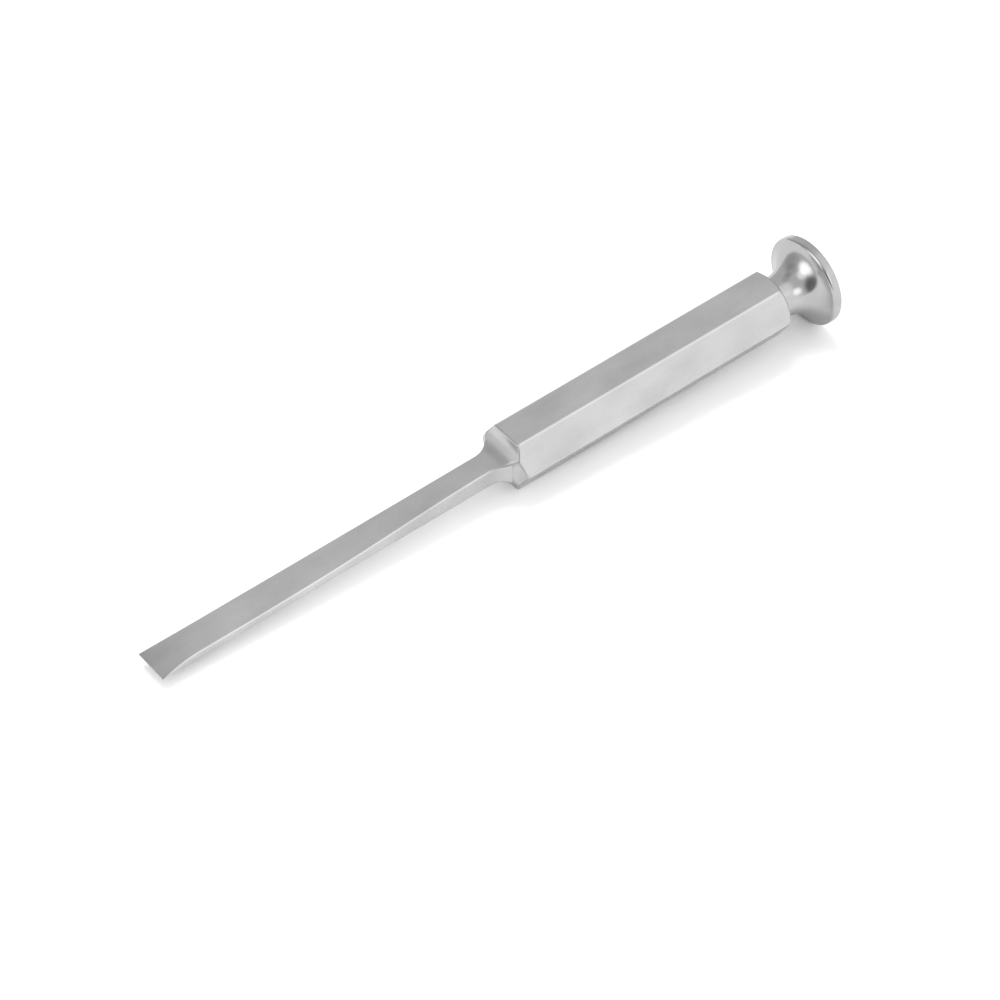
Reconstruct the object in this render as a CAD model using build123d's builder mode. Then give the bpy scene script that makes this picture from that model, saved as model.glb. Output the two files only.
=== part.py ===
"""Osteotome: a one-piece bone chisel of stainless steel, ground from a hexagonal bar."""

import os
from math import atan2, cos, radians, sin, sqrt, tan

from build123d import *

os.makedirs("parts", exist_ok=True)

# Driving sizes in millimetres. A station is a distance along the tool from its cutting edge.
overall_length = 165.0

# The handle is a regular hexagon with two of its flats parallel to the blade's broad faces.
across_flats = 12.7
handle_edge_round = 0.25
handle_front = 85.2
handle_rear = 154.4

# Both ends of the handle are turned to a slightly crowned chamfer. Its angle is from the square end.
front_core_diameter = 10.4
front_chamfer_angle = 40.0
rear_core_diameter = 10.8
rear_chamfer_angle = 30.0
chamfer_crown_radius = 6.0
turning_clearance = 0.04

# The blade's thickness, seen from the side.
cutting_land = 0.08
bevel_length = 9.0
bevel_thickness = 1.9
middle_station = 45.0
middle_thickness = 2.5
face_root_thickness = 4.4
face_flare_radius = 4.0

# The blade's width, seen from above.
cutting_width = 8.0
tip_flare_length = 10.0
tip_flare_width = 6.85
middle_width = 6.4
root_width = 5.2
side_root_station = 79.2
side_flare_radius = 6.0

# The turned neck and the striking head. The trumpet runs from the neck to the head's rim.
neck_diameter = 9.2
head_diameter = 19.8
head_rim_length = 2.3
head_front_round = 0.7
head_rear_chamfer = 0.4
trumpet_end_angle = 72.0

# Radii and stations worked out from the sizes above.
flat_radius = across_flats / 2
corner_radius = flat_radius / cos(radians(30))
turned_radius = corner_radius + turning_clearance
neck_radius = neck_diameter / 2
head_radius = head_diameter / 2
rim_front_station = overall_length - head_rim_length
rim_round_run = head_front_round * sin(radians(trumpet_end_angle))
rim_round_rise = head_front_round * (1 - cos(radians(trumpet_end_angle)))
trumpet_rise = head_radius - rim_round_rise - neck_radius
trumpet_radius = trumpet_rise / (1 - cos(radians(trumpet_end_angle)))
neck_end_station = rim_front_station - trumpet_radius * sin(radians(trumpet_end_angle))

# At rest the tool lies on the head's rim and on the front end of the handle's lower flat.
flare_rise = min(face_flare_radius, flat_radius - face_root_thickness / 2)
flare_run = sqrt(face_flare_radius**2 - (face_flare_radius - flare_rise) ** 2)
face_root_station = handle_front - flare_run
rim_contact_station = rim_front_station + rim_round_run
rest_angle = atan2(head_radius - flat_radius, rim_contact_station - handle_front)
along = Vector(cos(rest_angle), 0, sin(rest_angle))
across = Vector(0, 1, 0)
up = Vector(-sin(rest_angle), 0, cos(rest_angle))
tip_x = -(overall_length * cos(rest_angle) + head_radius * sin(rest_angle)) / 2
tip_z = head_radius * cos(rest_angle) - rim_contact_station * sin(rest_angle)
tip = Vector(tip_x, 0, tip_z)

section_plane = Plane(origin=tip, x_dir=across, z_dir=along)
side_plane = Plane(origin=tip, x_dir=along, z_dir=-across)
plan_plane = Plane(origin=tip, x_dir=along, z_dir=up)
tool_axis = Axis(tip, along)


def half_outline(edge_size, front, middle, root, flare_radius):
    """Lines of half the ground tool: edge, taper, flare into the handle and plain handle."""
    edge = (0, edge_size / 2)
    TangentArc(front, edge, tangent=(-1, 0))
    Spline(front, middle, root, tangents=[(1, 0), (1, 0)])
    flare = JernArc(root, (1, 0), flare_radius, 90)
    Polyline(
        flare @ 1,
        ((flare @ 1).X, head_radius + flare_radius),
        (handle_rear, head_radius + flare_radius),
        (handle_rear, 0),
        (0, 0),
        edge,
    )


with BuildPart() as osteotome:
    # Hexagonal bar.
    with BuildSketch(section_plane):
        RegularPolygon(flat_radius, 6, major_radius=False)
        fillet(vertices(), handle_edge_round)
    extrude(amount=handle_rear)

    # Chamfers turned on both ends of the handle.
    front_core = front_core_diameter / 2
    rear_core = rear_core_diameter / 2
    front_chamfer_run = (turned_radius - front_core) * tan(radians(front_chamfer_angle))
    rear_chamfer_run = (turned_radius - rear_core) * tan(radians(rear_chamfer_angle))
    with BuildSketch(side_plane):
        with BuildLine():
            front_chamfer = RadiusArc(
                (handle_front - front_chamfer_run, front_core),
                (handle_front, turned_radius),
                chamfer_crown_radius,
            )
            rear_chamfer = RadiusArc(
                (handle_rear - rear_chamfer_run, turned_radius),
                (handle_rear, rear_core),
                chamfer_crown_radius,
            )
            Line(front_chamfer @ 1, rear_chamfer @ 0)
            Polyline(rear_chamfer @ 1, (handle_rear, 0), (0, 0), (0, front_core), front_chamfer @ 0)
        make_face()
    revolve(axis=tool_axis, mode=Mode.INTERSECT)

    # Broad faces of the blade, ground from above and below.
    with BuildSketch(side_plane):
        with BuildLine():
            half_outline(
                cutting_land,
                (bevel_length, bevel_thickness / 2),
                (middle_station, middle_thickness / 2),
                (face_root_station, face_root_thickness / 2),
                face_flare_radius,
            )
        make_face()
        mirror(about=Plane.XZ)
    extrude(amount=across_flats, both=True, mode=Mode.INTERSECT)

    # Narrow sides of the blade, ground from the left and the right.
    with BuildSketch(plan_plane):
        with BuildLine():
            half_outline(
                cutting_width,
                (tip_flare_length, tip_flare_width / 2),
                (middle_station, middle_width / 2),
                (side_root_station, root_width / 2),
                side_flare_radius,
            )
        make_face()
        mirror(about=Plane.XZ)
    extrude(amount=across_flats, both=True, mode=Mode.INTERSECT)

    # Neck, trumpet and striking head, turned in one profile.
    with BuildSketch(side_plane):
        with BuildLine():
            trumpet = JernArc((neck_end_station, neck_radius), (1, 0), trumpet_radius, trumpet_end_angle)
            rim_round = JernArc(trumpet @ 1, trumpet % 1, head_front_round, -trumpet_end_angle)
            Polyline(
                rim_round @ 1,
                (overall_length - head_rear_chamfer, head_radius),
                (overall_length, head_radius - head_rear_chamfer),
                (overall_length, 0),
                (handle_rear - rear_chamfer_run, 0),
                (handle_rear - rear_chamfer_run, neck_radius),
                trumpet @ 0,
            )
        make_face()
    revolve(axis=tool_axis)

osteotome.part.label = "osteotome"
export_step(osteotome.part, "parts/osteotome.step")
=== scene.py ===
"""Looks of the steel osteotome: its finished surface, a white floor and soft studio light."""

from math import cos, pi, radians, sin, sqrt, tan

import bpy
import numpy as np
from mathutils import Matrix, Vector


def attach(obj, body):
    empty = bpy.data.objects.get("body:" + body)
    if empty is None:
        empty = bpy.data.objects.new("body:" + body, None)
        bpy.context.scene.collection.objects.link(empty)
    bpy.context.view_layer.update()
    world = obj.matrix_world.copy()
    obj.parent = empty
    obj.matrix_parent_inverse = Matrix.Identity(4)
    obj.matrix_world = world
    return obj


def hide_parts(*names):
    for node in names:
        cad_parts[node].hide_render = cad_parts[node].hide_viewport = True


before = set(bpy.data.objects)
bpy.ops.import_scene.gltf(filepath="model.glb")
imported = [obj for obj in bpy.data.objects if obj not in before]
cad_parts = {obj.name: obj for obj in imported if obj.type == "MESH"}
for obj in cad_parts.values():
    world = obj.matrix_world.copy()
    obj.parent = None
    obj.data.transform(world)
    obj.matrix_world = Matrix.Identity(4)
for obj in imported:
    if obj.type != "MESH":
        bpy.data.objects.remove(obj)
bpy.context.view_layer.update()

MM = 0.001

# Sizes in millimetres, the same as in the part's source. A station is a distance from the tip.
LENGTH = 165.0
ACROSS_FLATS = 12.7
HANDLE_FRONT = 85.2
HANDLE_REAR = 154.4
FRONT_CORE_DIAMETER = 10.4
FRONT_CHAMFER_ANGLE = 40.0
REAR_CORE_DIAMETER = 10.8
REAR_CHAMFER_ANGLE = 30.0
CHAMFER_CROWN_RADIUS = 6.0
TURNING_CLEARANCE = 0.04
CUTTING_LAND = 0.08
BEVEL_LENGTH = 9.0
BEVEL_THICKNESS = 1.9
MIDDLE_STATION = 45.0
MIDDLE_THICKNESS = 2.5
FACE_ROOT_THICKNESS = 4.4
FACE_FLARE_RADIUS = 4.0
CUTTING_WIDTH = 8.0
TIP_FLARE_LENGTH = 10.0
TIP_FLARE_WIDTH = 6.85
MIDDLE_WIDTH = 6.4
ROOT_WIDTH = 5.2
SIDE_ROOT_STATION = 79.2
SIDE_FLARE_RADIUS = 6.0
NECK_DIAMETER = 9.2
HEAD_DIAMETER = 19.8
HEAD_RIM_LENGTH = 2.3
HEAD_FRONT_ROUND = 0.7
HEAD_REAR_CHAMFER = 0.4
TRUMPET_END_ANGLE = 72.0

# Finishing sizes that only the looks need: worn ridges, and soft corners on the turned parts.
RIDGE_ROUND = 0.36
TURNED_ROUND = 0.12
NECK_FILLET = 0.35

# The ridges are worn by no more than this share of the blade's half thickness.
THIN_RIDGE_SHARE = 0.35

# What the shoulder adds to the rounding of its ridges, by station.
SHOULDER_ROUND = (77.0, 0.0), (79.5, 0.05), (82.0, 0.14), (83.4, 0.14), (84.3, 0.05), (84.9, 0.0)

# How strongly the ridges are polished, by station: above zero smoother and lighter, partly wear and
# partly a painted highlight; below zero duller and darker, a painted dark reflection on the
# shoulder.
RIDGE_POLISH_AND_PAINTED_LIGHT = (
    (76.0, 1.0),
    (79.0, 0.0),
    (80.5, -2.0),
    (84.9, -2.0),
    (86.0, 1.0),
    (152.5, 1.0),
    (153.0, 0.0),
)

# Sizes worked out from the ones above.
HEX_COS, HEX_SIN = cos(radians(30)), sin(radians(30))
FLAT_RADIUS = ACROSS_FLATS / 2
CORNER_RADIUS = FLAT_RADIUS / HEX_COS
TURNED_RADIUS = CORNER_RADIUS + TURNING_CLEARANCE
FRONT_CORE = FRONT_CORE_DIAMETER / 2
REAR_CORE = REAR_CORE_DIAMETER / 2
FRONT_RUN = (TURNED_RADIUS - FRONT_CORE) * tan(radians(FRONT_CHAMFER_ANGLE))
REAR_RUN = (TURNED_RADIUS - REAR_CORE) * tan(radians(REAR_CHAMFER_ANGLE))
FACE_ROOT_STATION = HANDLE_FRONT - FACE_FLARE_RADIUS
NECK_RADIUS = NECK_DIAMETER / 2
HEAD_RADIUS = HEAD_DIAMETER / 2
RIM_FRONT = LENGTH - HEAD_RIM_LENGTH
TRUMPET_TURN = radians(TRUMPET_END_ANGLE)
RIM_ROUND_RISE = HEAD_FRONT_ROUND * (1 - cos(TRUMPET_TURN))
RIM_ROUND_RUN = HEAD_FRONT_ROUND * sin(TRUMPET_TURN)
TRUMPET_RADIUS = (HEAD_RADIUS - RIM_ROUND_RISE - NECK_RADIUS) / (1 - cos(TRUMPET_TURN))
NECK_END = RIM_FRONT - TRUMPET_RADIUS * sin(TRUMPET_TURN)

# The tool lies on the head's rim and on the front of the handle, so its axis rises a little.
RIM_CONTACT = RIM_FRONT + RIM_ROUND_RUN
REST_ANGLE = np.arctan2(HEAD_RADIUS - FLAT_RADIUS, RIM_CONTACT - HANDLE_FRONT)
ALONG = np.array([cos(REST_ANGLE), 0, sin(REST_ANGLE)])
ACROSS = np.array([0, 1, 0])
UP = np.array([-sin(REST_ANGLE), 0, cos(REST_ANGLE)])
TIP_X = -(LENGTH * cos(REST_ANGLE) + HEAD_RADIUS * sin(REST_ANGLE)) / 2
TIP_Z = HEAD_RADIUS * cos(REST_ANGLE) - RIM_CONTACT * sin(REST_ANGLE)
TIP = np.array([TIP_X, 0, TIP_Z])

# How finely the surface is divided, and how far the points of a section crowd on its ridges.
QUARTER_SEGMENTS = 44
FINE_ANGLES = 361
RIDGE_WEIGHT = 0.55
NECK_FILLET_RINGS = 9
TRUMPET_RINGS = 49
RIM_ROUND_RINGS = 15
HEAD_CORNER_RINGS = 5
STRIKING_FACE_RINGS = 0.75, 0.5, 0.25

# Stretches of the blade and handle: what is there, where it ends and how many rings it has.
STRETCHES = (
    ("bevel", BEVEL_LENGTH + 3, 30),
    ("taper", SIDE_ROOT_STATION, 44),
    ("flares", HANDLE_FRONT - 1.2, 44),
    ("front_chamfer", HANDLE_FRONT + 0.5, 44),
    ("handle_front", HANDLE_FRONT + 2, 10),
    ("handle", HANDLE_REAR - 3, 24),
    ("handle_rear", HANDLE_REAR - REAR_RUN - 0.6, 8),
    ("rear_chamfer", HANDLE_REAR, 40),
)

# Search for the surface: how far it looks, in half sizes of the section, and its steps.
SEARCH_REACH = 6.0
SEARCH_HALVINGS = 44
SETTLING_STEPS = 3
LEAST_FLATNESS = 1e-4
LEAST_TURN = 1e-6

# Steel: its tone and roughness, and what each pattern or treated place adds to them.
STEEL_TONE = 0.68
CLOUD_TONE = 0.26
GRAIN_TONE = 0.008
# Ridges lighter, partly wear and partly a painted highlight, and the shoulder's ridges darker, a
# painted dark reflection.
RIDGE_WEAR_AND_PAINTED_LIGHT_TONE = 0.10
# Painted shade: the polished head is darker, standing in for the darker surroundings that it
# reflects.
HEAD_PAINTED_SHADE_TONE = -0.09
# Painted light: a lighter stretch along the middle of the blade, where it catches more light.
BLADE_PAINTED_LIGHT_TONE = 0.035
BLUE_SHARE = 0.995
SATIN_ROUGHNESS = 0.27
BLOTCH_ROUGHNESS = 0.10
GRAIN_ROUGHNESS = 0.016
RIDGE_ROUGHNESS = -0.10
DULL_SHOULDER_ROUGHNESS = 0.06
HEAD_ROUGHNESS = 0.17
TURNING_ROUGHNESS = 0.05

# Heights of its marks, in millimetres.
WAVE_HEIGHT = 0.12
GRAIN_HEIGHT = 0.0002
TURNING_HEIGHT = 0.0005

# Where the head's polish and its painted shade fade in, and where two stretches fade in and out
# again: the blade's painted light and the shoulder's dullness.
POLISHED_FROM = HANDLE_REAR - 0.3, HANDLE_REAR + 0.1
BLADE_PAINTED_LIGHT_STRETCH = (6.0, 20.0), (45.0, 75.0)
DULL_SHOULDER = (77.0, 81.0), (84.6, 85.6)

# Patterns: waves in a millimetre along, across and up, then the noise's detail and roughness.
CLOUDS = (0.08, 0.16, 0.16), 3.0, 0.5
BLOTCHES = (0.35, 0.6, 0.6), 2.0, 0.5
GRAIN = (0.25, 5.0, 5.0), 2.0, 0.6
TURNING_MARKS = (7.0, 0.02, 0.02), 2.0, 0.6
WAVES = (0.12, 0.16, 0.16), 1.0, 0.5

# Studio: the level that lights matt surfaces, and the even tent that the steel reflects.
LIGHT_LEVEL = 0.80
TENT = 0.63

# Zones of the tent: azimuth, elevation, radii of core and edge in degrees, added brightness.
ZONES = (
    ("right_horizon", 27, 4, 12, 55, 0.34),
    ("left_window", -98, 26, 3, 23, 1.25),
    ("upper_window", -84, 46, 2, 20, 0.60),
    ("front_window", -4, 32, 0.5, 20, 0.85),
    ("high_right", 52, 55, 10, 35, 0.30),
    ("behind_camera", -56, 9, 13, 33, -0.47),
    ("back_left", -147, 20, 10, 32, -0.17),
    ("back_high", -150, 50, 8, 26, -0.15),
    ("overhead", 172, 68, 8, 22, -0.14),
)

# Key light: the brightness that it adds to a white floor, where it stands and its width.
KEY_SHARE = 0.17
KEY_AZIMUTH = 170
KEY_ELEVATION = 66
KEY_ANGLE = 25

# Floor: metres from its middle to each side, and its colour when lit, reflected and seen.
FLOOR_REACH = 3.0
FLOOR_COLOUR = 0.6
FLOOR_REFLECTED = 1.0
FLOOR_SEEN = 1.37

# Camera: the photograph's view, found by fitting the tool's edges. Clipping is in metres.
CAMERA_AZIMUTH = -40.69
CAMERA_ELEVATION = 45.94
CAMERA_ROLL = 2.65
CAMERA_AIM = (-1.64, -3.68, 0.0)
CAMERA_DISTANCE = 802.1
CAMERA_LENS = 147.3
CAMERA_SENSOR = 36
CAMERA_CLIP = 0.01, 20


def taper(station, front, front_size, middle, middle_size, root, root_size):
    """Half size along a stretch that is level at its front and its root and passes a middle."""
    first, second = middle - front, root - middle
    rise_1, rise_2 = middle_size - front_size, root_size - middle_size
    slope = 1.5 * (rise_1 / first**2 + rise_2 / second**2) / (1 / first + 1 / second)

    def hermite(t, a, b, slope_a, slope_b):
        return (
            a * (1 + 2 * t) * (1 - t) ** 2
            + b * t**2 * (3 - 2 * t)
            + slope_a * t * (1 - t) ** 2
            - slope_b * t**2 * (1 - t)
        )

    fore = hermite((station - front) / first, front_size, middle_size, 0, slope * first)
    rear = hermite((station - middle) / second, middle_size, root_size, slope * second, 0)
    return np.where(station < middle, fore, rear)


def half_size(station, edge, front, front_size, middle_size, root, root_size):
    """Half of the blade's thickness or width, from the cutting edge to the root."""
    # The arc to the edge meets the taper level. Its radius is negative where the blade widens.
    drop = (front_size - edge) / 2
    radius = (front**2 + drop**2) / (2 * drop)
    run = np.minimum(station - front, 0)
    bevel = front_size / 2 - radius + np.copysign(np.sqrt(radius**2 - run**2), radius)
    rest = taper(
        np.clip(station, front, root),
        front,
        front_size / 2,
        MIDDLE_STATION,
        middle_size / 2,
        root,
        root_size / 2,
    )
    return np.where(station < front, bevel, rest)


def half_thickness(station):
    """Half of the blade's thickness, seen from the side."""
    return half_size(
        station,
        CUTTING_LAND,
        BEVEL_LENGTH,
        BEVEL_THICKNESS,
        MIDDLE_THICKNESS,
        FACE_ROOT_STATION,
        FACE_ROOT_THICKNESS,
    )


def half_width(station):
    """Half of the blade's width, seen from above."""
    return half_size(
        station,
        CUTTING_WIDTH,
        TIP_FLARE_LENGTH,
        TIP_FLARE_WIDTH,
        MIDDLE_WIDTH,
        SIDE_ROOT_STATION,
        ROOT_WIDTH,
    )


def ground(station, size, profile, root, root_size, flare_radius):
    """How far a point is outside a ground face: a taper, then a flare that ends square."""
    flare_centre = root_size / 2 + flare_radius
    run = np.maximum(station - root, 0)
    below = np.minimum(size - flare_centre, 0)
    flare = flare_radius - np.sqrt(run**2 + below**2)
    return np.where(station < root, size - profile(station), flare)


def ground_face(station, z):
    """The blade's broad faces and their flares."""
    return ground(
        station, z, half_thickness, FACE_ROOT_STATION, FACE_ROOT_THICKNESS, FACE_FLARE_RADIUS
    )


def ground_side(station, y):
    """The blade's narrow sides and their flares."""
    return ground(station, y, half_width, SIDE_ROOT_STATION, ROOT_WIDTH, SIDE_FLARE_RADIUS)


def crown_centre(start, end, radius):
    """Centre of the arc that bulges outwards from start to end, given as station and radius."""
    start, end = np.array(start), np.array(end)
    chord = end - start
    length = np.linalg.norm(chord)
    inwards = np.array([chord[1], -chord[0]]) / length
    return (start + end) / 2 + inwards * sqrt(radius**2 - length**2 / 4)


FRONT_CROWN = crown_centre(
    (HANDLE_FRONT - FRONT_RUN, FRONT_CORE), (HANDLE_FRONT, TURNED_RADIUS), CHAMFER_CROWN_RADIUS
)
REAR_CROWN = crown_centre(
    (HANDLE_REAR - REAR_RUN, TURNED_RADIUS), (HANDLE_REAR, REAR_CORE), CHAMFER_CROWN_RADIUS
)


def crowned(station, radius, centre):
    """How far a point is outside a turned chamfer."""
    return np.hypot(station - centre[0], radius - centre[1]) - CHAMFER_CROWN_RADIUS


def ridge_round(station):
    """Radius of the worn ridges, smaller where the blade is thin and larger on the shoulder."""
    extra = np.interp(station, *zip(*SHOULDER_ROUND))
    return np.minimum(RIDGE_ROUND, THIN_RIDGE_SHARE * half_thickness(station)) + extra


def excesses(station, y, z):
    """How far a point is past the inside of the ridge rounding, for each face, and the rounding."""
    y, z = np.abs(y), np.abs(z)
    turned = np.hypot(y, z)
    front_turned = (station > HANDLE_FRONT - FRONT_RUN) & (station < FRONT_CROWN[0])
    limits = [
        z - FLAT_RADIUS,
        y * HEX_COS + z * HEX_SIN - FLAT_RADIUS,
        y * HEX_COS - z * HEX_SIN - FLAT_RADIUS,
        ground_face(station, z),
        ground_side(station, y),
        np.where(front_turned, crowned(station, turned, FRONT_CROWN), -1),
        np.where(station > REAR_CROWN[0], crowned(station, turned, REAR_CROWN), -1),
    ]
    worn = ridge_round(station)
    return np.stack([np.maximum(limit + worn, 0) for limit in limits]), worn


def outside(station, y, z):
    """Below zero inside the blade and handle. Its zero is the surface, with rounded ridges."""
    past, worn = excesses(station, y, z)
    return np.sqrt(np.sum(past**2, axis=0)) - worn


def ridge_polish_and_painted_light(points):
    """Polish of each point, which also sets the ridges' painted highlight and the shoulder's
    painted dark reflection: none on a face, and the ridge's own on the crest of a ridge.
    """
    past, worn = excesses(*points.T)
    second = np.sort(past, axis=0)[-2]
    crest = np.clip(sqrt(2) * second / worn, 0, 1)
    return crest * np.interp(points[:, 0], *zip(*RIDGE_POLISH_AND_PAINTED_LIGHT))


def gradient(station, y, z, step=0.002):
    """Outward direction of the ground surface, in station, across and up."""
    parts = [
        outside(station + step, y, z) - outside(station - step, y, z),
        outside(station, y + step, z) - outside(station, y - step, z),
        outside(station, y, z + step) - outside(station, y, z - step),
    ]
    n = np.stack(parts, axis=-1)
    return n / np.linalg.norm(n, axis=-1, keepdims=True)


def search_size(station):
    """Half width and half height of an ellipse about as large as the section."""
    wide = min(float(half_width(np.array(station))), CORNER_RADIUS)
    tall = min(float(half_thickness(np.array(station))), FLAT_RADIUS)
    if station > SIDE_ROOT_STATION:
        grown = min((station - SIDE_ROOT_STATION) / (HANDLE_FRONT - SIDE_ROOT_STATION), 1)
        wide += grown**2 * (CORNER_RADIUS - wide)
        tall += grown**2 * (FLAT_RADIUS - tall)
    return wide, tall


def quarter_section(station):
    """Points of one quarter of a section, closer together on the rounded ridges."""
    wide, tall = search_size(station)
    turn = np.linspace(0, pi / 2, FINE_ANGLES)
    ray_y, ray_z = wide * np.cos(turn), tall * np.sin(turn)
    low, high = np.zeros(FINE_ANGLES), np.full(FINE_ANGLES, SEARCH_REACH)
    for _ in range(SEARCH_HALVINGS):
        middle = (low + high) / 2
        inside = outside(station, middle * ray_y, middle * ray_z) < 0
        low, high = np.where(inside, middle, low), np.where(inside, high, middle)
    y, z = low * ray_y, low * ray_z
    normal = gradient(station, y, z)
    heading = np.unwrap(np.arctan2(normal[:, 2], normal[:, 1]))
    length = np.concatenate([[0], np.cumsum(np.hypot(np.diff(y), np.diff(z)))])
    turned = np.concatenate([[0], np.cumsum(np.abs(np.diff(heading)))])
    even, crowded = length / length[-1], turned / max(turned[-1], LEAST_TURN)
    pace = (1 - RIDGE_WEIGHT) * even + RIDGE_WEIGHT * crowded
    picks = np.interp(np.linspace(0, 1, QUARTER_SEGMENTS + 1), pace, turn)
    return np.interp(picks, turn, y), np.interp(picks, turn, z)


def settle(station, y, z):
    """Moves points that were picked between samples back onto the surface."""
    for _ in range(SETTLING_STEPS):
        off = outside(station, y, z)
        n = gradient(station, y, z)
        flat = np.maximum(n[:, 1] ** 2 + n[:, 2] ** 2, LEAST_FLATNESS)
        y, z = y - off * n[:, 1] / flat, z - off * n[:, 2] / flat
    return y, z


def ground_ring(station):
    """One ring of the blade or handle: points and normals in station, across and up."""
    y, z = settle(station, *quarter_section(station))
    y[-1], z[0] = 0, 0
    y = np.concatenate([y, -y[-2::-1], -y[1:], y[-2:0:-1]])
    z = np.concatenate([z, z[-2::-1], -z[1:], -z[-2:0:-1]])
    return np.stack([np.full_like(y, station), y, z], axis=1), gradient(station, y, z)


def turned_ring(station, radius, lean, shape):
    """One ring of a turned part. Lean is how far its normal turns from outwards to the rear."""
    turn = np.arctan2(shape[:, 2], shape[:, 1])
    y, z = np.cos(turn), np.sin(turn)
    points = np.stack([np.full_like(y, station), radius * y, radius * z], axis=1)
    normals = np.stack([np.full_like(y, sin(lean)), cos(lean) * y, cos(lean) * z], axis=1)
    return points, normals


def arc_rings(station, height, radius, start, end, count, hollow=False):
    """Rings of an arc about a centre: station, radius and lean, from start to end in degrees."""
    reach = -radius if hollow else radius
    leans = [radians(lean) for lean in np.linspace(start, end, count)]
    return [(station + reach * sin(lean), height + reach * cos(lean), lean) for lean in leans]


def turned_profile():
    """Rings from the handle's rear wall to the middle of the striking face."""
    turn = TRUMPET_END_ANGLE
    fillet = HANDLE_REAR + NECK_FILLET, NECK_RADIUS + NECK_FILLET, NECK_FILLET
    trumpet = NECK_END, NECK_RADIUS + TRUMPET_RADIUS, TRUMPET_RADIUS
    rim_round = RIM_CONTACT, HEAD_RADIUS - HEAD_FRONT_ROUND, HEAD_FRONT_ROUND

    # The rear chamfer's two corners, and how far each rounding reaches from its corner.
    corner = 2 * TURNED_ROUND
    reach = corner * tan(radians(22.5))
    outer = LENGTH - HEAD_REAR_CHAMFER - reach, HEAD_RADIUS - corner, corner
    inner = LENGTH - corner, HEAD_RADIUS - HEAD_REAR_CHAMFER - reach, corner

    profile = [(HANDLE_REAR, REAR_CORE - TURNED_ROUND, pi / 2)]
    profile += arc_rings(*fillet, 90, 0, NECK_FILLET_RINGS, hollow=True)
    profile += arc_rings(*trumpet, 0, -turn, TRUMPET_RINGS, hollow=True)
    profile += arc_rings(*rim_round, -turn, 0, RIM_ROUND_RINGS)[1:]
    profile += arc_rings(*outer, 0, 45, HEAD_CORNER_RINGS)
    profile += arc_rings(*inner, 45, 90, HEAD_CORNER_RINGS)
    profile += [(LENGTH, HEAD_RADIUS * share, pi / 2) for share in STRIKING_FACE_RINGS]
    return profile


def ground_stations():
    """Stations of the rings on the blade and handle."""
    stations, start = [], 0
    for _, end, count in STRETCHES:
        stations += list(np.linspace(start, end, count, endpoint=False))
        start = end
    return stations


def steel_surface():
    """Points, normals and faces of the whole tool, in millimetres along, across and up."""
    rings = [ground_ring(station) for station in ground_stations()]
    shape = rings[-1][0]
    rings += [turned_ring(*row, shape) for row in turned_profile()]
    count = len(shape)
    points = np.concatenate([ring[0] for ring in rings] + [[[0, 0, 0], [LENGTH, 0, 0]]])
    normals = np.concatenate([ring[1] for ring in rings] + [[[-1, 0, 0], [1, 0, 0]]])
    faces = []
    for row in range(len(rings) - 1):
        a, b = row * count, (row + 1) * count
        for i in range(count):
            j = (i + 1) % count
            faces.append((a + i, a + j, b + j, b + i))
    front, rear, last = len(points) - 2, len(points) - 1, (len(rings) - 1) * count
    for i in range(count):
        j = (i + 1) % count
        faces.append((front, j, i))
        faces.append((rear, last + i, last + j))
    return points, normals, faces


def build_tool():
    """The mesh in the frame's own place, with exact normals."""
    points, normals, faces = steel_surface()
    axes = np.stack([ALONG, ACROSS, UP])
    placed = (TIP + points @ axes) * MM
    mesh = bpy.data.meshes.new("osteotome_steel")
    mesh.from_pydata(placed.tolist(), [], faces)
    mesh.validate()
    mesh.polygons.foreach_set("use_smooth", [True] * len(mesh.polygons))
    mesh.normals_split_custom_set_from_vertices((normals @ axes).tolist())
    # The ridges' polish, which also carries their painted highlight and the shoulder's painted dark
    # reflection.
    ridge = mesh.attributes.new("ridge", "FLOAT", "POINT")
    ridge.data.foreach_set("value", ridge_polish_and_painted_light(points).astype(np.float32))
    mesh.update()
    tool = bpy.data.objects.new("osteotome_steel", mesh)
    bpy.context.scene.collection.objects.link(tool)
    return tool


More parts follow.
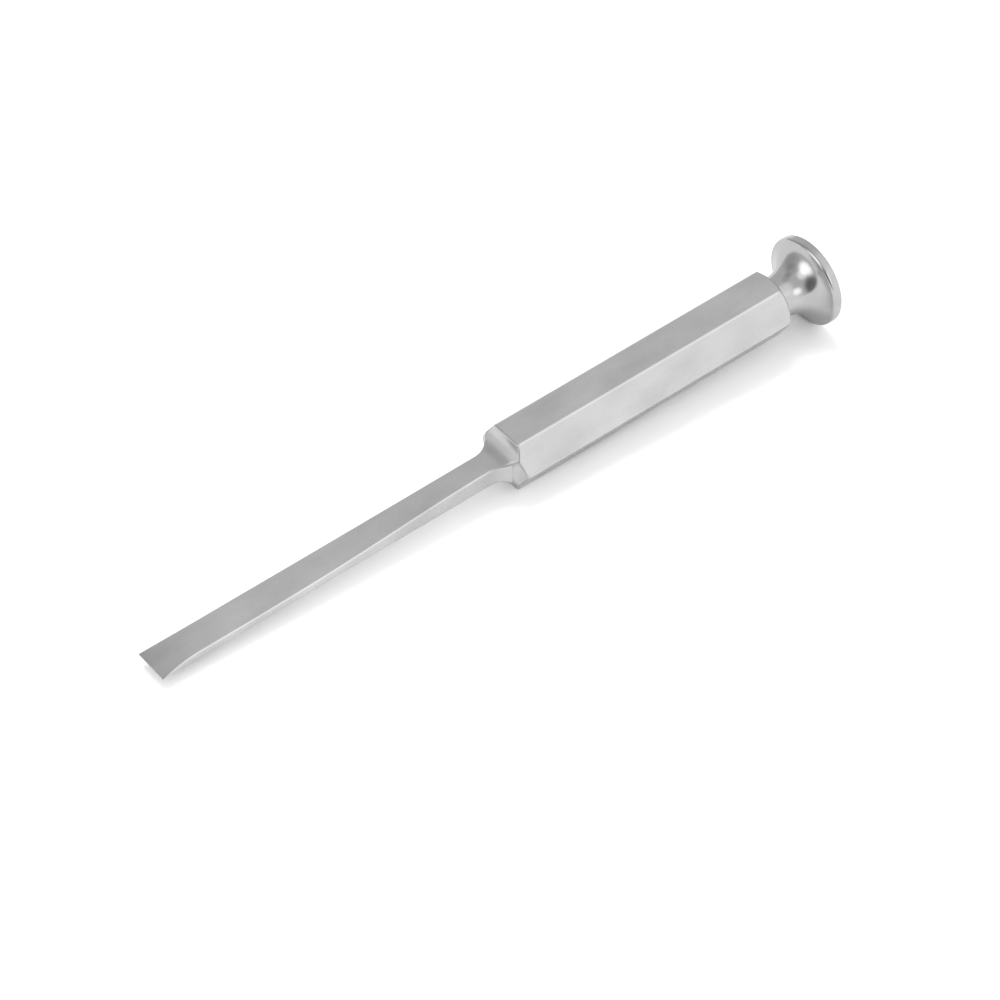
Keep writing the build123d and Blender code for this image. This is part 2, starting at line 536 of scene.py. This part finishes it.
class Nodes:
    """Short ways to add nodes to a tree. A value is a number, a vector or a node's output."""

    def __init__(self, owner):
        owner.use_nodes = True
        self.nodes, self.links = owner.node_tree.nodes, owner.node_tree.links

    def add(self, kind, **values):
        """A new node. Each value's name is that of an input, with underscores for spaces."""
        node = self.nodes.new("ShaderNode" + kind)
        for name, value in values.items():
            self.feed(node.inputs[name.replace("_", " ")], value)
        return node

    def feed(self, socket, value):
        """Sets or links one input."""
        if isinstance(value, bpy.types.NodeSocket):
            self.links.new(value, socket)
        else:
            socket.default_value = value

    def math(self, operation, *values):
        """The result of a Math node. The values go to its inputs in their order."""
        node = self.add("Math")
        node.operation = operation
        for socket, value in zip(node.inputs, values):
            self.feed(socket, value)
        return node.outputs["Value"]

    def grade(self, value, low, high, to_low=0.0, to_high=1.0):
        """A soft change from to_low to to_high, as the value goes from low to high."""
        limits = {"From_Min": low, "From_Max": high, "To_Min": to_low, "To_Max": to_high}
        node = self.add("MapRange", Value=value, **limits)
        node.interpolation_type = "SMOOTHSTEP"
        return node.outputs["Result"]

    def blend(self, share, first, second):
        """The first value where the share is 0, and the second where it is 1."""
        return self.add("Mix", Factor=share, A=first, B=second).outputs["Result"]

    def raised(self, value, share, amount):
        """The value plus a share of an amount."""
        return self.math("MULTIPLY_ADD", share, amount, value)

    def varied(self, value, pattern, amount):
        """The value, changed both ways by a pattern between 0 and 1."""
        return self.raised(value, self.math("SUBTRACT", pattern, 0.5), amount)

    def pattern(self, place, per_mm, detail, roughness):
        """Noise with its own number of waves in a millimetre along, across and up."""
        spread = self.add("Mapping", Vector=place, Scale=per_mm).outputs["Vector"]
        noise = self.add("TexNoise", Vector=spread, Scale=1.0, Detail=detail, Roughness=roughness)
        return noise.outputs["Fac"]


def place_on_tool(tree):
    """Place in millimetres: along from the cutting edge, across, and up from the axis."""
    return tree.add(
        "Mapping",
        Vector=tree.add("TexCoord").outputs["Object"],
        Scale=(1 / MM, 1 / MM, 1 / MM),
        Rotation=(0, REST_ANGLE, 0),
        Location=(-TIP @ ALONG, 0, -TIP @ UP),
    ).outputs["Vector"]


def stretch(tree, station, fade_in, fade_out):
    """1 along a stretch of the tool, and 0 beyond its soft ends."""
    entering, leaving = tree.grade(station, *fade_in), tree.grade(station, *fade_out, 1.0, 0.0)
    return tree.math("MULTIPLY", entering, leaving)


def steel_colour(tree, station, clouds, grain, ridge, polished):
    """Cloudy grey, with painted light and shade: ridges lighter, partly wear and partly a painted
    highlight, the shoulder's ridges darker as a painted dark reflection, a painted lighter stretch
    in the middle of the blade, and painted shade darkening the head.
    """
    tone = tree.varied(STEEL_TONE, clouds, CLOUD_TONE)
    tone = tree.varied(tone, grain, GRAIN_TONE)
    # Painted highlight on the ridges, partly their wear, and a painted dark reflection on the
    # shoulder's ridges.
    tone = tree.raised(tone, ridge, RIDGE_WEAR_AND_PAINTED_LIGHT_TONE)
    # Painted shade on the head, standing in for the darker surroundings that its polish reflects.
    tone = tree.raised(tone, polished, HEAD_PAINTED_SHADE_TONE)
    # Painted light along the middle of the blade.
    tone = tree.raised(tone, stretch(tree, station, *BLADE_PAINTED_LIGHT_STRETCH), BLADE_PAINTED_LIGHT_TONE)
    blue = tree.math("MULTIPLY", tone, BLUE_SHARE)
    return tree.add("CombineColor", Red=tone, Green=tone, Blue=blue).outputs["Color"]


def steel_roughness(tree, station, blotches, grain, turning, ridge, polished):
    """Uneven satin, smoother on the ridges, and a smooth head with faint turning marks."""
    satin = tree.varied(SATIN_ROUGHNESS, blotches, BLOTCH_ROUGHNESS)
    satin = tree.varied(satin, grain, GRAIN_ROUGHNESS)
    satin = tree.raised(satin, ridge, RIDGE_ROUGHNESS)
    duller = stretch(tree, station, *DULL_SHOULDER)
    satin = tree.raised(satin, duller, DULL_SHOULDER_ROUGHNESS)
    head = tree.varied(HEAD_ROUGHNESS, turning, TURNING_ROUGHNESS)
    return tree.blend(polished, satin, head)


def steel_normal(tree, waves, grain, turning, polished):
    """Hand-ground waves with fine grinding marks, and turning marks on the head."""
    marks = tree.math("MULTIPLY", grain, GRAIN_HEIGHT)
    ground_height = tree.raised(marks, waves, WAVE_HEIGHT)
    turned_height = tree.math("MULTIPLY", turning, TURNING_HEIGHT)
    height = tree.blend(polished, ground_height, turned_height)
    return tree.add("Bump", Strength=1.0, Distance=MM, Height=height).outputs["Normal"]


def steel_material():
    """Stainless steel: satin on the blade and handle, polished on the turned head."""
    material = bpy.data.materials.new("stainless_steel")
    tree = Nodes(material)
    place = place_on_tool(tree)
    station = tree.add("SeparateXYZ", Vector=place).outputs["X"]
    # The head, which is polished and is also painted darker as painted shade.
    polished = tree.grade(station, *POLISHED_FROM)
    # The ridges' polish, which also carries their painted highlight and the shoulder's painted dark
    # reflection.
    attribute = tree.add("Attribute")
    attribute.attribute_name = "ridge"
    ridge = attribute.outputs["Fac"]
    clouds = tree.pattern(place, *CLOUDS)
    blotches = tree.pattern(place, *BLOTCHES)
    grain = tree.pattern(place, *GRAIN)
    turning = tree.pattern(place, *TURNING_MARKS)
    waves = tree.pattern(place, *WAVES)

    colour = steel_colour(tree, station, clouds, grain, ridge, polished)
    roughness = steel_roughness(tree, station, blotches, grain, turning, ridge, polished)
    normal = steel_normal(tree, waves, grain, turning, polished)
    shader = tree.nodes["Principled BSDF"].inputs
    shader["Metallic"].default_value = 1
    tree.feed(shader["Base Color"], colour)
    tree.feed(shader["Roughness"], roughness)
    tree.feed(shader["Normal"], normal)
    return material


def direction(azimuth, elevation):
    """Direction towards a place in the studio. Azimuth 0 is -Y, and 90 is +X."""
    turn, lift = radians(azimuth), radians(elevation)
    return Vector((sin(turn) * cos(lift), -cos(turn) * cos(lift), sin(lift)))


def add_world():
    """Soft light from all round. The camera sees a white background."""
    world = bpy.data.worlds.new("studio")
    bpy.context.scene.world = world
    tree = Nodes(world)
    place = tree.add("TexCoord").outputs["Generated"]
    ray = tree.add("LightPath").outputs
    tent = TENT
    for name, azimuth, elevation, core, edge, change in ZONES:
        facing = tree.add("VectorMath")
        facing.name = name
        facing.operation = "DOT_PRODUCT"
        tree.feed(facing.inputs[0], place)
        tree.feed(facing.inputs[1], direction(azimuth, elevation))
        limits = cos(radians(edge)), cos(radians(core))
        tent = tree.math("ADD", tree.grade(facing.outputs["Value"], *limits, 0.0, change), tent)
    lit = tree.blend(ray["Is Glossy Ray"], LIGHT_LEVEL, tent)
    background = tree.nodes["Background"].inputs
    background["Color"].default_value = (1, 1, 1, 1)
    tree.feed(background["Strength"], tree.blend(ray["Is Camera Ray"], lit, 1.0))


def add_floor():
    """A white floor. The camera sees it lighter, so it is white beside the shadow."""
    mesh = bpy.data.meshes.new("floor")
    corners = [(-1, -1, 0), (1, -1, 0), (1, 1, 0), (-1, 1, 0)]
    mesh.from_pydata([Vector(corner) * FLOOR_REACH for corner in corners], [], [(0, 1, 2, 3)])
    floor = bpy.data.objects.new("floor", mesh)
    bpy.context.scene.collection.objects.link(floor)
    material = bpy.data.materials.new("floor_white")
    tree = Nodes(material)
    tree.nodes.clear()
    ray = tree.add("LightPath").outputs
    colour = tree.blend(ray["Is Glossy Ray"], FLOOR_COLOUR, FLOOR_REFLECTED)
    colour = tree.blend(ray["Is Camera Ray"], colour, FLOOR_SEEN)
    matt = tree.add("BsdfDiffuse", Color=colour)
    tree.add("OutputMaterial", Surface=matt.outputs["BSDF"])
    mesh.materials.append(material)


def add_key():
    """A weak soft light from behind, which draws the tool's shadow towards the camera."""
    data = bpy.data.lights.new("key", "SUN")
    data.energy = KEY_SHARE * pi / sin(radians(KEY_ELEVATION))
    data.angle = radians(KEY_ANGLE)
    lamp = bpy.data.objects.new("key", data)
    towards = direction(KEY_AZIMUTH, KEY_ELEVATION)
    lamp.location = towards
    lamp.rotation_euler = (-towards).to_track_quat("-Z", "Y").to_euler()
    lamp.visible_glossy = False
    bpy.context.scene.collection.objects.link(lamp)


def add_camera():
    """The photograph's view."""
    data = bpy.data.cameras.new("camera")
    data.lens = CAMERA_LENS
    data.sensor_width = CAMERA_SENSOR
    data.clip_start, data.clip_end = CAMERA_CLIP
    camera = bpy.data.objects.new("camera", data)
    turn = (
        Matrix.Rotation(radians(CAMERA_AZIMUTH), 4, "Z")
        @ Matrix.Rotation(radians(90 - CAMERA_ELEVATION), 4, "X")
        @ Matrix.Rotation(radians(CAMERA_ROLL), 4, "Z")
    )
    place = Vector(CAMERA_AIM) + turn.to_3x3() @ Vector((0, 0, CAMERA_DISTANCE))
    camera.matrix_world = Matrix.Translation(place * MM) @ turn
    bpy.context.scene.collection.objects.link(camera)
    bpy.context.scene.camera = camera


tool = build_tool()
tool.data.materials.append(steel_material())
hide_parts("osteotome")
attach(tool, "root")

add_world()
add_floor()
add_key()
add_camera()
bpy.context.scene.view_settings.view_transform = "Standard"
